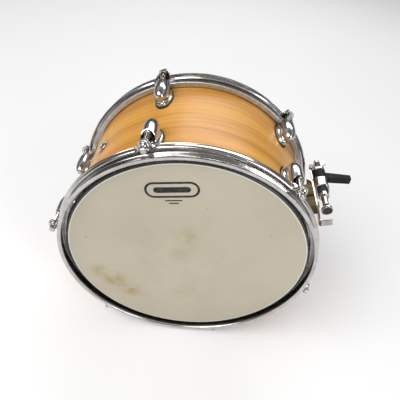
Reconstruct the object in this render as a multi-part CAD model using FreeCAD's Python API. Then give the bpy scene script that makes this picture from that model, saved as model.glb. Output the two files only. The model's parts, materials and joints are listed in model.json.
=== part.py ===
import FreeCAD, Part
import math
import os
from FreeCAD import Vector

# Tom tom drum lying on its side. The drum's axis runs along Y, the batter head faces -Y, +Z is up.
# While it is built, the axis is the Y axis and Y = 0 is the middle of the shell; the last step
# moves everything so that the origin is under the middle of the whole drum. Millimetres.
# "depth" is the distance from the plane of a rim's lip towards the middle of the drum, and a
# "station" is an angle round the drum from the top, clockwise as seen from the batter side.

# shell
shell_radius = 150.8
shell_wall = 6.0
shell_length = 165.1
edge_cut = 4.5
edge_round = 1.5
lip_height = 6.5
half_span = shell_length / 2 + lip_height

# heads
film_thickness = 0.3
collar_gap = 0.1
hoop_inner = 152.0
hoop_outer = 158.4
hoop_top = 14.4
hoop_bottom = 21.4

# rims
rim_sheet = 1.6
rim_wall = 155.9
rim_shelf_depth = 14.4
rim_skirt = 161.8
rim_outer = 163.8
rim_depth = 20.2
lip_reach = 4.0

# ears, tension rods and their washers
lug_count = 6
rod_circle = 166.5
rod_radius = 2.7
ear_end = 7.0
ear_root = 13.0
ear_depth = rim_shelf_depth - rim_sheet
ear_thick = rim_sheet
ear_hole = 3.3
rod_tip_depth = 2.4
rod_square = 6.2
rod_flange = 5.4
rod_flange_thick = 1.8
rod_end_depth = 40.0
rod_point = 0.9
washer_radius = 6.0
washer_thick = 1.2
seat_gap = 0.1

# lugs
lug_axis = 162.6
lug_radius = 9.0
lug_closed_depth = 64.5
lug_widest_depth = 44.0
lug_mouth_top = 35.0
lug_mouth_bottom = 22.0
lug_mouth_share = 0.62
lug_hollow = 6.0
lug_middle = 44.0
lug_base_half_length = 22.5
lug_base_half_width = 10.5
lug_base_thick = 3.0
gasket_thick = 1.0
gasket_margin = 0.7
neck_half_length = 17.0
neck_half_width = 7.4
nut_radius = 3.9
nut_start = 31.0
nut_end = 43.0
thread_gap = 0.05
screw_radius = 2.4
screw_spacing = 22.0
screw_reach = 156.0
screw_head = 4.2
screw_head_thick = 2.8
screw_slot = 1.0
screw_washer = 6.0
screw_washer_thick = 1.2

# vent
vent_station_offset = -31.5
vent_depth = 90.0
vent_bore = 4.5
vent_flange = 8.5
vent_tube = 1.15
vent_curl = 2.6

# bracket, all at the station half way between two lugs
plate_radius = 166.5
plate_thick = 2.5
plate_half_width = 8.5
plate_foot_half_width = 4.6
plate_neck_end = 62.0
plate_start = 45.0
plate_end = 126.0
plate_foot = 16.0
plate_tuck = 6.0
block_depths = (80.0, 106.0)
block_half_length = 10.5
block_half_width = 7.5
mount_bolt = 3.0
mount_head = 2.4
mount_head_radius = 5.4
mount_key = 1.9
mount_flange = 9.0
mount_flange_thick = 1.5
mount_nut = 5.0
mount_nut_height = 6.0
block_corner = 3.0
clamp_start = 108.0
clamp_end = 149.0
clamp_left = -9.5
clamp_right = 17.5
clamp_top = 189.0
slot_start = 127.0
slot_end = 143.0
bolt_axis = 179.5
bolt_radius = 3.9
bolt_head_radius = 7.2
bolt_head_start = 66.0
bolt_head_thick = 6.0
bolt_end = 171.0
spacer_start = 92.5
collar_radius = 6.6
collar_length = 6.0
bushing_radius = 7.0
clamp_washer_radius = 7.4
socket_x = 10.3
socket_depth_along = 117.5
socket_radius = 5.25
socket_floor = 173.0
wing_hub = 6.6
wing_stem = 5.0
wing_span = 11.5
wing_thick = 3.2
wing_turn = 80.0
lever_angle = 16.0
lever_reach = 42.0
lever_root = 13.2
lever_tip = 9.6
lever_hub = 8.6
lever_side = 4.6
lever_gap = 0.4
running_gap = 0.06

# The drum lies on both rims and on one ear of each, so the stations are turned until they touch.
rest_angle = math.degrees(math.acos((rim_outer - ear_end) / rod_circle))
first_station = -rest_angle
station_step = 360.0 / lug_count
stations = [first_station + station_step * k for k in range(lug_count)]
bracket_station = stations[1] + station_step / 2
vent_station = stations[0] + vent_station_offset
bearing_plane = lip_height

origin = Vector(0, 0, 0)
along = Vector(0, 1, 0)
outward = Vector(0, 0, 1)


def rounded_face(corners, to_space):
    """A flat face from corners (u, v, radius), each rounded by a true arc where radius is not 0."""
    joins = []
    for index, (u, v, radius) in enumerate(corners):
        here = Vector(u, v, 0)
        before = Vector(corners[index - 1][0], corners[index - 1][1], 0)
        after_corner = corners[(index + 1) % len(corners)]
        after = Vector(after_corner[0], after_corner[1], 0)
        if radius == 0:
            joins.append((here, None, here))
            continue
        into = (before - here).normalize()
        out = (after - here).normalize()
        half = into.getAngle(out) / 2
        reach = radius / math.tan(half)
        middle = (into + out).normalize()
        centre = here + middle * (radius / math.sin(half))
        joins.append((here + into * reach, centre - middle * radius, here + out * reach))
    edges = []
    for index, (start, bulge, end) in enumerate(joins):
        last = joins[index - 1][2]
        if (start - last).Length > 1e-6:
            edges.append(Part.LineSegment(to_space(last.x, last.y), to_space(start.x, start.y)).toShape())
        if bulge is not None:
            arc = Part.Arc(to_space(start.x, start.y), to_space(bulge.x, bulge.y), to_space(end.x, end.y))
            edges.append(arc.toShape())
    return Part.Face(Part.Wire(edges))


def bent_sheet(path, thickness, bend):
    """Corners of the outline of a bent strip of sheet whose middle line is path."""
    normals = []
    for (u0, v0), (u1, v1) in zip(path, path[1:]):
        run = math.hypot(u1 - u0, v1 - v0)
        normals.append((-(v1 - v0) / run, (u1 - u0) / run))
    sides = {1: [], -1: []}
    for side in sides:
        for index, (u, v) in enumerate(path):
            first = normals[max(index - 1, 0)]
            second = normals[min(index, len(normals) - 1)]
            scale = side * thickness / 2 / (1 + first[0] * second[0] + first[1] * second[1])
            turn = first[0] * second[1] - first[1] * second[0]
            outside = turn * side < 0
            radius = 0 if abs(turn) < 1e-6 else bend + (thickness if outside else 0)
            off_u = (first[0] + second[0]) * scale
            off_v = (first[1] + second[1]) * scale
            sides[side].append((u + off_u, v + off_v, radius))
    return sides[1] + sides[-1][::-1]


def y_at(depth):
    return depth - half_span


def ring(corners):
    """Turn an outline of (radius, depth, corner radius) round the drum's axis."""
    face = rounded_face(corners, lambda u, v: Vector(u, y_at(v), 0))
    return face.revolve(origin, along, 360)


def rod_along(radius, start, end, height, x=0.0):
    """A cylinder parallel to the drum's axis, between two depths, at a height above the axis."""
    return Part.makeCylinder(radius, end - start, Vector(x, y_at(start), height), along)


def post(radius, low, high, depth, x=0.0):
    """A cylinder that points straight out from the drum's axis."""
    return Part.makeCylinder(radius, high - low, Vector(x, y_at(depth), low), outward)


def block(x0, x1, depth0, depth1, z0, z1):
    return Part.makeBox(x1 - x0, depth1 - depth0, z1 - z0, Vector(x0, y_at(depth0), z0))


def oval_post(half_width, half_length, low, high, depth):
    """An oval column that points straight out, longest along the drum."""
    centre = Vector(0, y_at(depth), low)
    oval = Part.Ellipse(centre + along * half_length, centre + Vector(half_width, 0, 0), centre)
    return Part.Face(Part.Wire([oval.toShape()])).extrude(Vector(0, 0, high - low))


def turned(shape, station):
    """A copy of a piece built at the top of the drum, turned to its station."""
    copy = shape.copy()
    copy.rotate(origin, along, station)
    return copy


def mirrored(shape):
    """The same piece for the resonant side."""
    return shape.mirror(origin, along)


def inner_seat(radius):
    """The height at which a flat disc of this radius just misses the inside of the shell."""
    return math.sqrt((shell_radius - shell_wall) ** 2 - radius ** 2) - thread_gap


def screw_depths():
    return (lug_middle - screw_spacing / 2, lug_middle + screw_spacing / 2)


def make_shell():
    inner = shell_radius - shell_wall
    peak = shell_radius - edge_round
    near = bearing_plane
    far = bearing_plane + shell_length
    shell = ring([
        (inner, near + edge_cut, 0), (peak, near, 0.5), (shell_radius, near + edge_round, 0),
        (shell_radius, far - edge_round, 0), (peak, far, 0.5), (inner, far - edge_cut, 0),
    ])
    low = shell_radius - shell_wall - 4
    high = shell_radius + 4
    for station in stations:
        for depth in screw_depths():
            hole = turned(post(screw_radius + thread_gap, low, high, depth), station)
            shell = shell.cut(hole).cut(mirrored(hole))
    for depth in block_depths:
        shell = shell.cut(turned(post(mount_bolt + thread_gap, low, high, depth), bracket_station))
    return shell.cut(turned(post(vent_bore + vent_tube + thread_gap, low, high, vent_depth), vent_station))


def make_vent():
    """A turned eyelet: a tube through the wall, a rounded flange outside and a rolled edge inside."""
    low = shell_radius - shell_wall
    outline = [
        (vent_bore, low - 1.6, 0), (vent_bore + vent_curl, low - 1.6, 0.6),
        (vent_bore + vent_curl, low - 0.3, 0.2),
        (vent_bore + vent_tube, low - 0.3, 0), (vent_bore + vent_tube, shell_radius + 0.05, 0),
        (vent_flange, shell_radius + 0.05, 0.3), (vent_flange, shell_radius + 1.3, 0.7),
        (vent_bore, shell_radius + 2.2, 0.6),
    ]
    face = rounded_face(outline, lambda u, v: Vector(u, 0, v))
    eyelet = face.revolve(origin, outward, 360)
    eyelet.translate(Vector(0, y_at(vent_depth), 0))
    return turned(eyelet, vent_station)


def make_film():
    """The flat skin, the bend over the bearing edge and the collar that runs down into the hoop."""
    inside = bearing_plane
    peak = shell_radius - edge_round
    drop = shell_radius + collar_gap
    foot = hoop_bottom - 3.0
    t = film_thickness
    path = [(0, inside), (peak + 0.05, inside), (drop, inside + edge_round), (drop + 0.2, foot)]
    back = [
        (drop + 0.2 + t, foot), (drop + t, inside + edge_round), (peak + 0.2, inside - t), (0, inside - t),
    ]
    bends = [0, 0.4, 0.4, 0, 0, 0.5, 0.5, 0]
    return ring([(u, v, bend) for (u, v), bend in zip(path + back, bends)])


def make_flesh_hoop():
    """The channel ring: closed at the top under the rim, with the film let in from inside."""
    return ring([
        (hoop_inner, hoop_top, 0.8), (hoop_outer, hoop_top, 1.2),
        (hoop_outer, hoop_bottom, 1.2), (hoop_inner, hoop_bottom, 0.8),
    ])


def make_rim():
    """A sheet hoop with a lip, a shelf on the head's hoop and a skirt that is cut away at each ear."""
    half = rim_sheet / 2
    path = [
        (rim_wall + lip_reach, half), (rim_wall, half), (rim_wall, rim_shelf_depth - half),
        (rim_skirt, rim_shelf_depth - half), (rim_skirt, rim_depth - 2.0),
        (rim_outer - half, rim_depth - half),
    ]
    rim = ring(bent_sheet(path, rim_sheet, 0.9))
    opening = block(-ear_root, ear_root, ear_depth + ear_thick, rim_depth + 1, rim_skirt - 2.0, rim_outer + 2)
    hole = rod_along(ear_hole, ear_depth - 4, ear_depth + ear_thick + 4, rod_circle)
    for station in stations:
        rim = rim.cut(turned(opening, station)).fuse(turned(make_ear(), station))
    for station in stations:
        rim = rim.cut(turned(hole, station))
    return rim.removeSplitter()


def make_ear():
    """A tab with sloping sides and a round end, level with the shelf."""
    root = rim_skirt - 2.0
    tip = rod_circle + ear_end
    tip_round = ear_end - 0.05
    outline = [
        (-ear_root, root, 0), (-ear_end, rod_circle - 1.0, 3.0), (-ear_end, tip, tip_round),
        (ear_end, tip, tip_round), (ear_end, rod_circle - 1.0, 3.0), (ear_root, root, 0),
    ]
    face = rounded_face(outline, lambda u, v: Vector(u, y_at(ear_depth), v))
    return face.extrude(Vector(0, ear_thick, 0))


def make_rod_washer():
    washer = rod_along(washer_radius, ear_depth - washer_thick, ear_depth, rod_circle)
    return washer.cut(rod_along(ear_hole, ear_depth - 3, ear_depth + 1, rod_circle))


def make_rod():
    """A key rod: square drive, flange, and a shank threaded in the lug's nut."""
    seat = ear_depth - washer_thick - seat_gap
    flange_top = seat - rod_flange_thick
    side = rod_square / 2
    square = block(-side, side, rod_tip_depth, flange_top + 0.2, rod_circle - side, rod_circle + side)
    edges = [edge for edge in square.Edges if abs(edge.tangentAt(0).y) > 0.9]
    square = square.makeFillet(0.8, edges)
    crown = Part.makeSphere(rod_square * 0.86, Vector(0, y_at(rod_tip_depth) + rod_square * 0.78, rod_circle))
    crown = crown.fuse(rod_along(rod_square, rod_tip_depth + rod_square * 0.6, flange_top + 1, rod_circle))
    flange = rod_along(rod_flange, flange_top, seat, rod_circle)
    flange = flange.makeFillet(0.6, [edge for edge in flange.Edges if edge.BoundBox.YMax < y_at(seat) - 1])
    point_start = rod_end_depth - rod_point
    shank = rod_along(rod_radius, seat - 0.2, point_start, rod_circle)
    tip = Vector(0, y_at(point_start), rod_circle)
    point = Part.makeCone(rod_radius, rod_radius - rod_point, rod_point, tip, along)
    return square.common(crown).fuse([flange, shank, point]).removeSplitter()


def lug_profile():
    """Half the outline of a lug's cap: two arcs of ellipses that meet at its widest section."""
    widest = Vector(0, y_at(lug_widest_depth), lug_axis)
    crest = widest + outward * lug_radius
    closed = Vector(0, y_at(lug_closed_depth), lug_axis)
    open_end = widest - along * ((lug_widest_depth - lug_mouth_bottom) / lug_mouth_share)
    open_from = math.acos(lug_mouth_share)
    nose = Part.ArcOfEllipse(Part.Ellipse(closed, crest, widest), 0, math.pi / 2).toShape()
    front = Part.ArcOfEllipse(Part.Ellipse(open_end, crest, widest), open_from, math.pi / 2).toShape()
    axis_start = Vector(0, y_at(lug_mouth_bottom), lug_axis)
    mouth_edge = axis_start + outward * (lug_radius * math.sin(open_from))
    floor = Part.LineSegment(closed, axis_start).toShape()
    end = Part.LineSegment(axis_start, mouth_edge).toShape()
    return Part.Wire(Part.__sortEdges__([nose, front, floor, end]))


def make_lug():
    """An egg-shaped cap on an oval neck and a flared oval foot, open at the end that faces the rim."""
    cap = Part.Face(lug_profile()).revolve(Vector(0, 0, lug_axis), along, 360)
    foot_low = shell_radius - 6
    foot_high = shell_radius + gasket_thick + lug_base_thick
    foot = oval_post(lug_base_half_width, lug_base_half_length, foot_low, foot_high, lug_middle)
    foot = foot.makeFillet(1.6, [edge for edge in foot.Edges if edge.BoundBox.ZMin > foot_high - 0.1])
    neck = oval_post(neck_half_width, neck_half_length, foot_low, lug_axis - 2, lug_middle)
    lug = cap.fuse([foot, neck])
    lug = lug.cut(rod_along(shell_radius + gasket_thick, -5, 90, 0))
    mouth = rounded_face([
        (lug_mouth_bottom - 12, lug_axis - 9, 0), (lug_mouth_bottom, lug_axis - 9, 0),
        (lug_mouth_top, lug_axis + 9, 0), (lug_mouth_bottom - 12, lug_axis + 9, 0),
    ], lambda u, v: Vector(-20, y_at(u), v)).extrude(Vector(40, 0, 0))
    lug = lug.cut(mouth)
    lug = lug.cut(rod_along(lug_hollow, lug_mouth_bottom - 5, nut_start - 0.5, rod_circle))
    lug = lug.cut(rod_along(nut_radius + thread_gap, nut_start - 1, nut_end + 1.5, rod_circle))
    for depth in screw_depths():
        lug = lug.cut(post(screw_radius + thread_gap, foot_low, screw_reach + 1, depth))
    return lug.removeSplitter()


def make_gasket():
    """The thin seat between a lug's foot and the shell."""
    half_width = lug_base_half_width + gasket_margin
    half_length = lug_base_half_length + gasket_margin
    pad = oval_post(half_width, half_length, shell_radius - 6, shell_radius + 4, lug_middle)
    pad = pad.cut(rod_along(shell_radius, -5, 90, 0))
    pad = pad.common(rod_along(shell_radius + gasket_thick, -5, 90, 0))
    for depth in screw_depths():
        pad = pad.cut(post(screw_radius + thread_gap, shell_radius - 6, shell_radius + 5, depth))
    return pad


def make_swivel_nut():
    nut = rod_along(nut_radius, nut_start, nut_end, rod_circle)
    return nut.cut(rod_along(rod_radius + thread_gap, nut_start - 1, nut_end + 1, rod_circle))


def make_lug_screw(depth):
    seat = inner_seat(screw_washer) - screw_washer_thick
    head = post(screw_head, seat - screw_head_thick, seat, depth)
    head = head.makeFillet(1.0, [edge for edge in head.Edges if edge.BoundBox.ZMax < seat - 1])
    face = seat - screw_head_thick
    slot = block(-screw_head, screw_head, depth - screw_slot / 2, depth + screw_slot / 2, face - 1, face + 1)
    return head.cut(slot).fuse(post(screw_radius, seat, screw_reach, depth)).removeSplitter()


def make_lug_screw_washer(depth):
    top = inner_seat(screw_washer)
    washer = post(screw_washer, top - screw_washer_thick, top, depth)
    return washer.cut(post(screw_radius + thread_gap, top - 5, top + 5, depth))


def make_bracket_plate():
    """A steel plate that stands off the shell, its near end turned out and its far end turned in."""
    half = plate_thick / 2
    path = [
        (plate_start, plate_radius + plate_foot), (plate_start, plate_radius + half),
        (plate_end - plate_tuck, plate_radius + half), (plate_end, plate_radius + half - plate_tuck),
    ]
    outline = bent_sheet(path, plate_thick, 1.5)
    face = rounded_face(outline, lambda u, v: Vector(-plate_half_width, y_at(u), v))
    plate = face.extrude(Vector(2 * plate_half_width, 0, 0))
    beyond = plate_start - 4
    for side in (-1, 1):
        waste = rounded_face([
            (side * plate_foot_half_width, beyond, 0), (side * (plate_half_width + 1), beyond, 0),
            (side * (plate_half_width + 1), plate_neck_end, 0), (side * plate_half_width, plate_neck_end, 0),
            (side * plate_foot_half_width, plate_start + 4, 0),
        ], lambda u, v: Vector(u, y_at(v), plate_radius - 8))
        plate = plate.cut(waste.extrude(Vector(0, 0, plate_foot + 16)))
    for depth in block_depths:
        plate = plate.cut(post(mount_bolt + thread_gap, plate_radius - 5, plate_radius + 9, depth))
    return plate


def make_isolator(depth):
    """A rubber block between plate and shell, hollowed to the shell's curve."""
    top = plate_radius
    body = block(-block_half_width, block_half_width, depth - block_half_length, depth + block_half_length,
                 shell_radius - 4, top)
    body = body.makeFillet(block_corner, [edge for edge in body.Edges if edge.BoundBox.ZLength > 10])
    body = body.cut(rod_along(shell_radius, -5, 200, 0))
    return body.cut(post(mount_bolt + thread_gap, shell_radius - 8, top + 1, depth))


def make_mount_bolt(depth):
    """A button-head bolt from the plate down through its block and the shell, and the nut inside."""
    top = plate_radius + plate_thick
    head = post(mount_head_radius, top, top + mount_head, depth)
    head = head.makeFillet(1.6, [edge for edge in head.Edges if edge.BoundBox.ZMin > top + 1])
    head = head.cut(hex_post(mount_key, top + 0.9, top + 4, depth))
    return head.fuse(post(mount_bolt, shell_radius - shell_wall - 8, top, depth)).removeSplitter()


def hex_post(apothem, low, high, depth, x=0.0):
    radius = apothem / math.cos(math.pi / 6)
    corners = [(x + radius * math.cos(k * math.pi / 3), y_at(depth) + radius * math.sin(k * math.pi / 3), 0)
               for k in range(6)]
    return rounded_face(corners, lambda u, v: Vector(u, v, low)).extrude(Vector(0, 0, high - low))


def make_mount_nut(depth):
    top = inner_seat(mount_flange)
    flange = post(mount_flange, top - mount_flange_thick, top, depth)
    nut = flange.fuse(hex_post(mount_nut, top - mount_nut_height, top - mount_flange_thick, depth))
    return nut.cut(post(mount_bolt + thread_gap, top - 8, top + 2, depth)).removeSplitter()


def make_clamp_body():
    """A cast block on the plate: a slot for the lever's hub, a bolt bore and a socket for an arm."""
    low = plate_radius + plate_thick
    outline = [
        (clamp_left, low, 0), (clamp_left, clamp_top, 8.0),
        (clamp_right, clamp_top, 5.0), (clamp_right, low, 0),
    ]
    face = rounded_face(outline, lambda u, v: Vector(u, y_at(clamp_start), v))
    body = face.extrude(Vector(0, clamp_end - clamp_start, 0))
    rim_edges = [edge for edge in body.Edges if edge.BoundBox.ZMin > low + 1 and edge.BoundBox.YLength < 0.1]
    body = body.makeFillet(1.5, rim_edges)
    body = body.cut(block(clamp_left - 1, clamp_right + 1, slot_start, slot_end, low + 0.6, clamp_top + 1))
    body = body.cut(rod_along(bolt_radius + running_gap, clamp_start - 1, clamp_end + 1, bolt_axis))
    body = body.cut(post(socket_radius, socket_floor, clamp_top + 1, socket_depth_along, socket_x))
    head_room = post(6.0, low - 1, low + 3.6, block_depths[1])
    return body.cut(head_room).removeSplitter()


def make_clamp_bolt():
    """A long bolt along the drum with a dished round head at the batter end."""
    head_end = bolt_head_start + bolt_head_thick
    outline = [
        (0, bolt_head_start + 1.6, 0), (bolt_head_radius - 1.8, bolt_head_start + 1.6, 0.3),
        (bolt_head_radius - 1.1, bolt_head_start, 0.4), (bolt_head_radius, bolt_head_start, 0.6),
        (bolt_head_radius, head_end - 2.0, 0.8), (bolt_radius + 1.2, head_end, 1.0),
        (bolt_radius, head_end + 5.0, 0), (bolt_radius, bolt_end - 1.0, 0), (bolt_radius - 1.0, bolt_end, 0),
        (0, bolt_end, 0),
    ]
    face = rounded_face(outline, lambda u, v: Vector(u, y_at(v), bolt_axis))
    return face.revolve(Vector(0, 0, bolt_axis), along, 360)


def make_bolt_sleeve(outer, start, end):
    sleeve = rod_along(outer, start, end, bolt_axis)
    rims = [edge for edge in sleeve.Edges if edge.BoundBox.YLength < 0.1]
    sleeve = sleeve.makeFillet(min(0.8, (end - start) / 4), rims)
    return sleeve.cut(rod_along(bolt_radius + running_gap, start - 1, end + 1, bolt_axis))


def make_wing_nut():
    """A hub on the bolt's far end with two flat wings."""
    start = clamp_end + 1.7
    root = start + wing_stem
    hub = Part.makeCone(wing_hub, wing_hub - 1.4, wing_stem + 8.0, Vector(0, y_at(start), bolt_axis), along)
    wing = rounded_face([
        (-wing_span, root + 3.0, 1.5), (1 - wing_span, root + 12.0, 3.0),
        (-6.0, root + 11.0, 2.0), (-3.0, root + 6.0, 1.0),
        (3.0, root + 6.0, 1.0), (6.0, root + 11.0, 2.0),
        (wing_span - 1, root + 12.0, 3.0), (wing_span, root + 3.0, 1.5),
        (4.0, root, 0), (-4.0, root, 0),
    ], lambda u, v: Vector(u, y_at(v), bolt_axis - wing_thick / 2)).extrude(Vector(0, 0, wing_thick))
    wing = wing.makeFillet(0.8, [edge for edge in wing.Edges if edge.BoundBox.ZLength < 0.1])
    nut = hub.fuse(wing).cut(rod_along(bolt_radius + running_gap, start - 1, bolt_end + 1, bolt_axis))
    nut = nut.removeSplitter()
    nut.rotate(Vector(0, 0, bolt_axis), along, wing_turn)
    return nut


def make_lever():
    """A black handle: a hub on the clamp bolt in the body's slot, and a tapering flat-sided bar."""
    start = slot_start + lever_gap
    end = slot_end - lever_gap
    middle = (start + end) / 2
    hub = rod_along(lever_hub, start, end, bolt_axis)
    bar = rounded_face([
        (middle - lever_root / 2, bolt_axis + 2, 0), (middle - lever_tip / 2, bolt_axis + lever_reach, 1.2),
        (middle + lever_tip / 2, bolt_axis + lever_reach, 1.2), (middle + lever_root / 2, bolt_axis + 2, 0),
    ], lambda u, v: Vector(-lever_side, y_at(u), v)).extrude(Vector(2 * lever_side, 0, 0))
    long_edges = [edge for edge in bar.Edges if edge.BoundBox.ZLength > 20 and edge.BoundBox.XLength < 0.1]
    bar = bar.makeFillet(1.5, long_edges)
    lever = hub.fuse(bar).cut(rod_along(bolt_radius + running_gap, start - 1, end + 1, bolt_axis))
    lever.rotate(Vector(0, 0, bolt_axis), along, lever_angle)
    return lever.removeSplitter()


def build():
    nodes = {"shell": make_shell(), "vent_eyelet": make_vent()}
    film = make_film()
    flesh_hoop = make_flesh_hoop()
    rim = make_rim()
    nodes["batter_film"] = film
    nodes["resonant_film"] = mirrored(film)
    nodes["batter_flesh_hoop"] = flesh_hoop
    nodes["resonant_flesh_hoop"] = mirrored(flesh_hoop)
    nodes["batter_rim"] = rim
    nodes["resonant_rim"] = mirrored(rim)

    lug = make_lug()
    rod = make_rod()
    gasket = make_gasket()
    nut = make_swivel_nut()
    washer = make_rod_washer()
    groups = {name: [] for name in (
        "lug_gaskets", "swivel_nuts", "batter_rod_washers", "resonant_rod_washers",
        "lug_screws", "lug_screw_washers",
    )}
    for number, station in enumerate(stations, start=1):
        for side, flip in (("batter", False), ("resonant", True)):
            def placed(shape):
                shape = turned(shape, station)
                return mirrored(shape) if flip else shape
            nodes["%s_lug_%d" % (side, number)] = placed(lug)
            nodes["%s_rod_%d" % (side, number)] = placed(rod)
            groups["lug_gaskets"].append(placed(gasket))
            groups["swivel_nuts"].append(placed(nut))
            groups[side + "_rod_washers"].append(placed(washer))
            for depth in screw_depths():
                groups["lug_screws"].append(placed(make_lug_screw(depth)))
                groups["lug_screw_washers"].append(placed(make_lug_screw_washer(depth)))

    collar_end = spacer_start + collar_length
    bracket = {
        "bracket_plate": make_bracket_plate(),
        "isolator_front": make_isolator(block_depths[0]),
        "isolator_rear": make_isolator(block_depths[1]),
        "bracket_bolts": Part.makeCompound([make_mount_bolt(depth) for depth in block_depths]),
        "bracket_nuts": Part.makeCompound([make_mount_nut(depth) for depth in block_depths]),
        "clamp_body": make_clamp_body(),
        "clamp_bolt": make_clamp_bolt(),
        "clamp_collar": make_bolt_sleeve(collar_radius, spacer_start, collar_end),
        "clamp_bushing": make_bolt_sleeve(bushing_radius, collar_end + 0.2, clamp_start - 0.1),
        "clamp_washer": make_bolt_sleeve(clamp_washer_radius, clamp_end + 0.1, clamp_end + 1.5),
        "wing_nut": make_wing_nut(),
        "lever": make_lever(),
    }
    for name, shape in bracket.items():
        nodes[name] = turned(shape, bracket_station)
    for name, shapes in groups.items():
        nodes[name] = Part.makeCompound(shapes)
    return nodes


def base_shift(nodes):
    """The move that puts the origin under the middle of the whole drum."""
    box = Part.makeCompound(list(nodes.values())).optimalBoundingBox(False)
    return Vector(-(box.XMin + box.XMax) / 2, -(box.YMin + box.YMax) / 2, -box.ZMin)


drum = build()
shift = base_shift(drum)
os.makedirs("parts", exist_ok=True)
for name, shape in drum.items():
    shape.translate(shift)
    shape.exportStep("parts/%s.step" % name)
    if not shape.isValid() or shape.Volume <= 0:
        print("check", name, shape.isValid(), round(shape.Volume, 1))
print(len(drum), "nodes, drum axis at x", round(shift.x, 3), "z", round(shift.z, 3))
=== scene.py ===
import json
import math

import bmesh
import bpy
from mathutils import Matrix, Vector


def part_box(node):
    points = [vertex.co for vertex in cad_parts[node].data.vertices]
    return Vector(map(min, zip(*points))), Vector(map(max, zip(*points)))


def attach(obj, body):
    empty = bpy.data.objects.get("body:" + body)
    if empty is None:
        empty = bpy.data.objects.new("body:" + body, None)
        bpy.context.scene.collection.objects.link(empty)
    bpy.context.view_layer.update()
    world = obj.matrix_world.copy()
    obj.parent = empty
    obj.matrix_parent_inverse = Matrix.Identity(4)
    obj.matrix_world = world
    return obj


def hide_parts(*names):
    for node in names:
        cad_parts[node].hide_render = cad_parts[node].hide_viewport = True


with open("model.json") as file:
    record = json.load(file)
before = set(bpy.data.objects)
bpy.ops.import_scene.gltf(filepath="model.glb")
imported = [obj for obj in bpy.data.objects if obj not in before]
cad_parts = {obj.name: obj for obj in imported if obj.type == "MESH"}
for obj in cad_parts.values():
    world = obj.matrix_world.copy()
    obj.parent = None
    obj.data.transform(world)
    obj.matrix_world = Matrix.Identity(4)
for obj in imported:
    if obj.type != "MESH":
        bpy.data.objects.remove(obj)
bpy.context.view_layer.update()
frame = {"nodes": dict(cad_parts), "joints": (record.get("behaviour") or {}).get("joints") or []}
mm = 0.001
sharpAngle = math.radians(38)
boreSides = 40

# The drum lies along Y. Shapes are drawn as if at the top of the drum, in millimetres:
# x across, depth from the rim's lip towards the middle, height above the drum's axis.
shellLow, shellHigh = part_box("shell")
axisX = (shellLow.x + shellHigh.x) / 2
axisZ = (shellLow.z + shellHigh.z) / 2
shellRadius = (shellHigh.z - shellLow.z) / 2 / mm
halfSpan = -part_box("batter_rim")[0].y / mm


def stationOf(jointName):
    place = next(joint["pos_m"] for joint in frame["joints"] if joint["name"] == jointName)
    return math.atan2(place[0] - axisX, place[2] - axisZ)


stations = [stationOf("batter_rod_%d_turn" % number) for number in range(1, 7)]
bracketStation = stationOf("lever_swing")


# mesh helpers

def yAt(depth):
    return depth - halfSpan


def placing(station, farSide=False):
    flip = Matrix.Diagonal((1, -1, 1, 1)) if farSide else Matrix.Identity(4)
    turn = Matrix.Rotation(station, 4, "Y")
    return Matrix.Translation((axisX, 0, axisZ)) @ flip @ turn @ Matrix.Scale(mm, 4)


def softPath(corners, steps=5):
    # corners are (u, v, reach): each is eased over that reach on both sides
    path = []
    for index, (u, v, reach) in enumerate(corners):
        if reach == 0:
            path.append((u, v))
            continue
        here = Vector((u, v))
        before = Vector(corners[index - 1][:2])
        after = Vector(corners[(index + 1) % len(corners)][:2])
        start = here + (before - here).normalized() * reach
        end = here + (after - here).normalized() * reach
        for step in range(steps + 1):
            t = step / steps
            path.append(tuple(start.lerp(here, t).lerp(here.lerp(end, t), t)))
    return path


def sheetOutline(path, thick):
    # the closed section of a bent strip, from its middle line, with round ends
    line = [Vector(point) for point in path]
    line[0] += (line[1] - line[0]).normalized() * thick / 2
    line[-1] += (line[-2] - line[-1]).normalized() * thick / 2
    left, right = [], []
    for index, point in enumerate(line):
        run = (line[min(index + 1, len(line) - 1)] - line[max(index - 1, 0)]).normalized()
        side = Vector((-run.y, run.x)) * thick / 2
        left.append(point + side)
        right.append(point - side)
    outline = list(left)
    for point, back, nearSide in ((line[-1], line[-2], left[-1]), (line[0], line[1], right[0])):
        out = (point - back).normalized() * thick / 2
        side = nearSide - point
        for angle in (45, 90, 135):
            turn = math.radians(angle)
            outline.append(point + side * math.cos(turn) + out * math.sin(turn))
        if point is line[-1]:
            outline += right[::-1]
    return [tuple(point) for point in outline]


def loft(rings, closed=False):
    # quads between rings of the same count, with flat caps unless the rings close on themselves
    count = len(rings[0])
    points = [point for ring in rings for point in ring]
    faces = []
    for k in range(len(rings) if closed else len(rings) - 1):
        nextK = (k + 1) % len(rings)
        for i in range(count):
            nextI = (i + 1) % count
            faces.append((k * count + i, k * count + nextI, nextK * count + nextI, nextK * count + i))
    if not closed:
        faces.append(tuple(range(count)))
        faces.append(tuple(range(len(points) - count, len(points))))
    return points, faces


def joined(*shapes):
    points, faces = [], []
    for shapePoints, shapeFaces in shapes:
        start = len(points)
        points += shapePoints
        faces += [tuple(start + i for i in face) for face in shapeFaces]
    return points, faces


def aroundDrum(outline, steps=360):
    # an outline of (radius, depth) turned round the drum's axis
    rings = []
    for k in range(steps):
        angle = 2 * math.pi * k / steps
        rings.append([(u * math.sin(angle), yAt(v), u * math.cos(angle)) for u, v in outline])
    return loft(rings, closed=True)


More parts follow.
